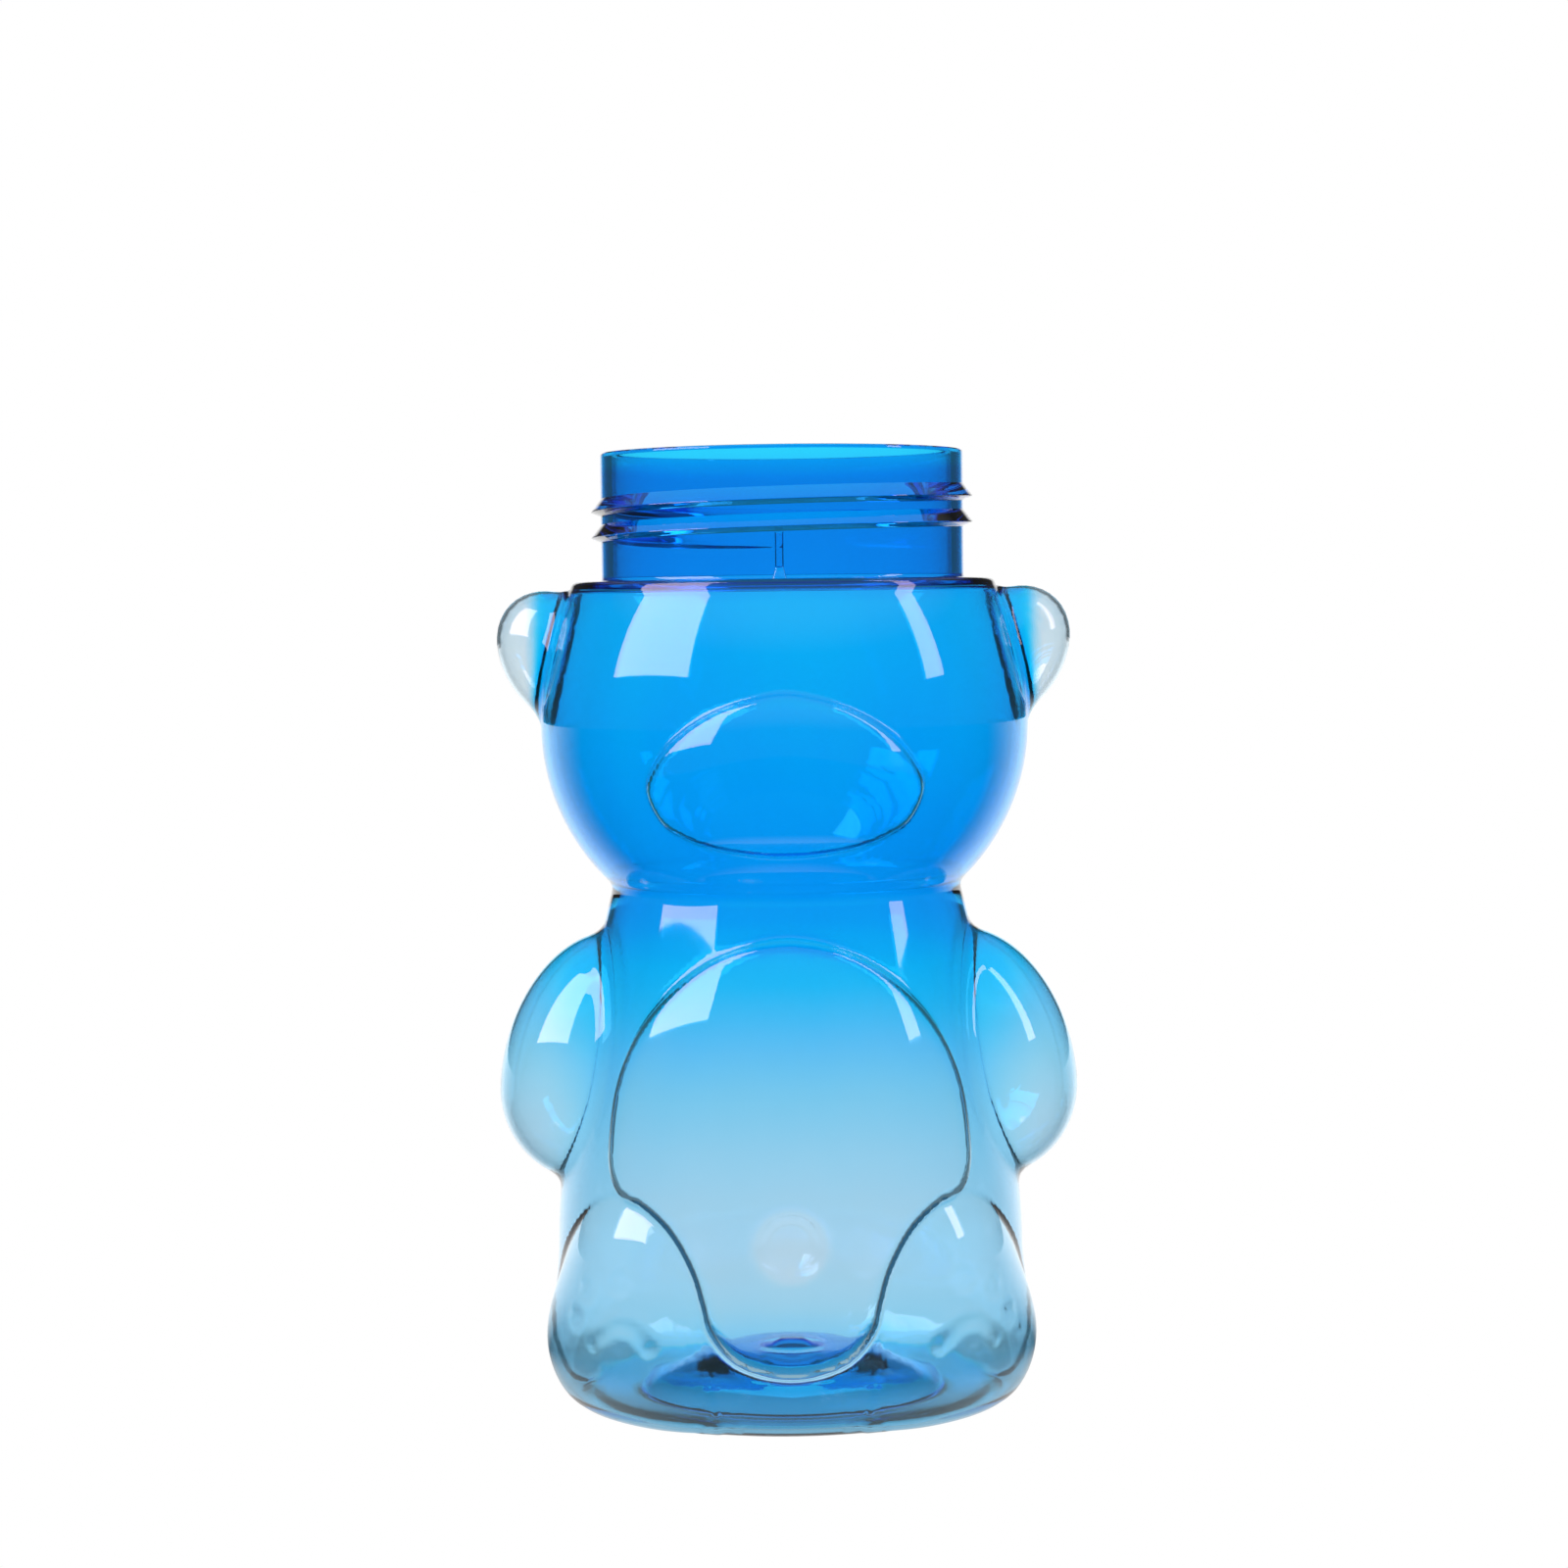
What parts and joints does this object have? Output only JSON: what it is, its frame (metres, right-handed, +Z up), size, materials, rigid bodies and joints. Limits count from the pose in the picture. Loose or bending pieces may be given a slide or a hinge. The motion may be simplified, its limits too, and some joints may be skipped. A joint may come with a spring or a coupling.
{
  "type": "bear-shaped water bottle",
  "caption": "Transparent blue wide-mouth drinking bottle blown in the shape of a sitting bear, with a screw-thread neck and a pushed-up base.",
  "frame": {"origin": "centre of the standing ring, on the plane that the bottle stands on", "axes": "+Z up along the neck's axis, -Y towards the face and belly, +X towards the bear's left arm"},
  "size_m": [0.0956, 0.0871, 0.1551],
  "materials": {
    "clear_blue_plastic": "transparent, polished as blown, paler where the wall is stretched thin over the ears, arms, feet and belly"
  },
  "bodies": {
    "root": {"bottle": "clear_blue_plastic"}
  },
  "joints": []
}
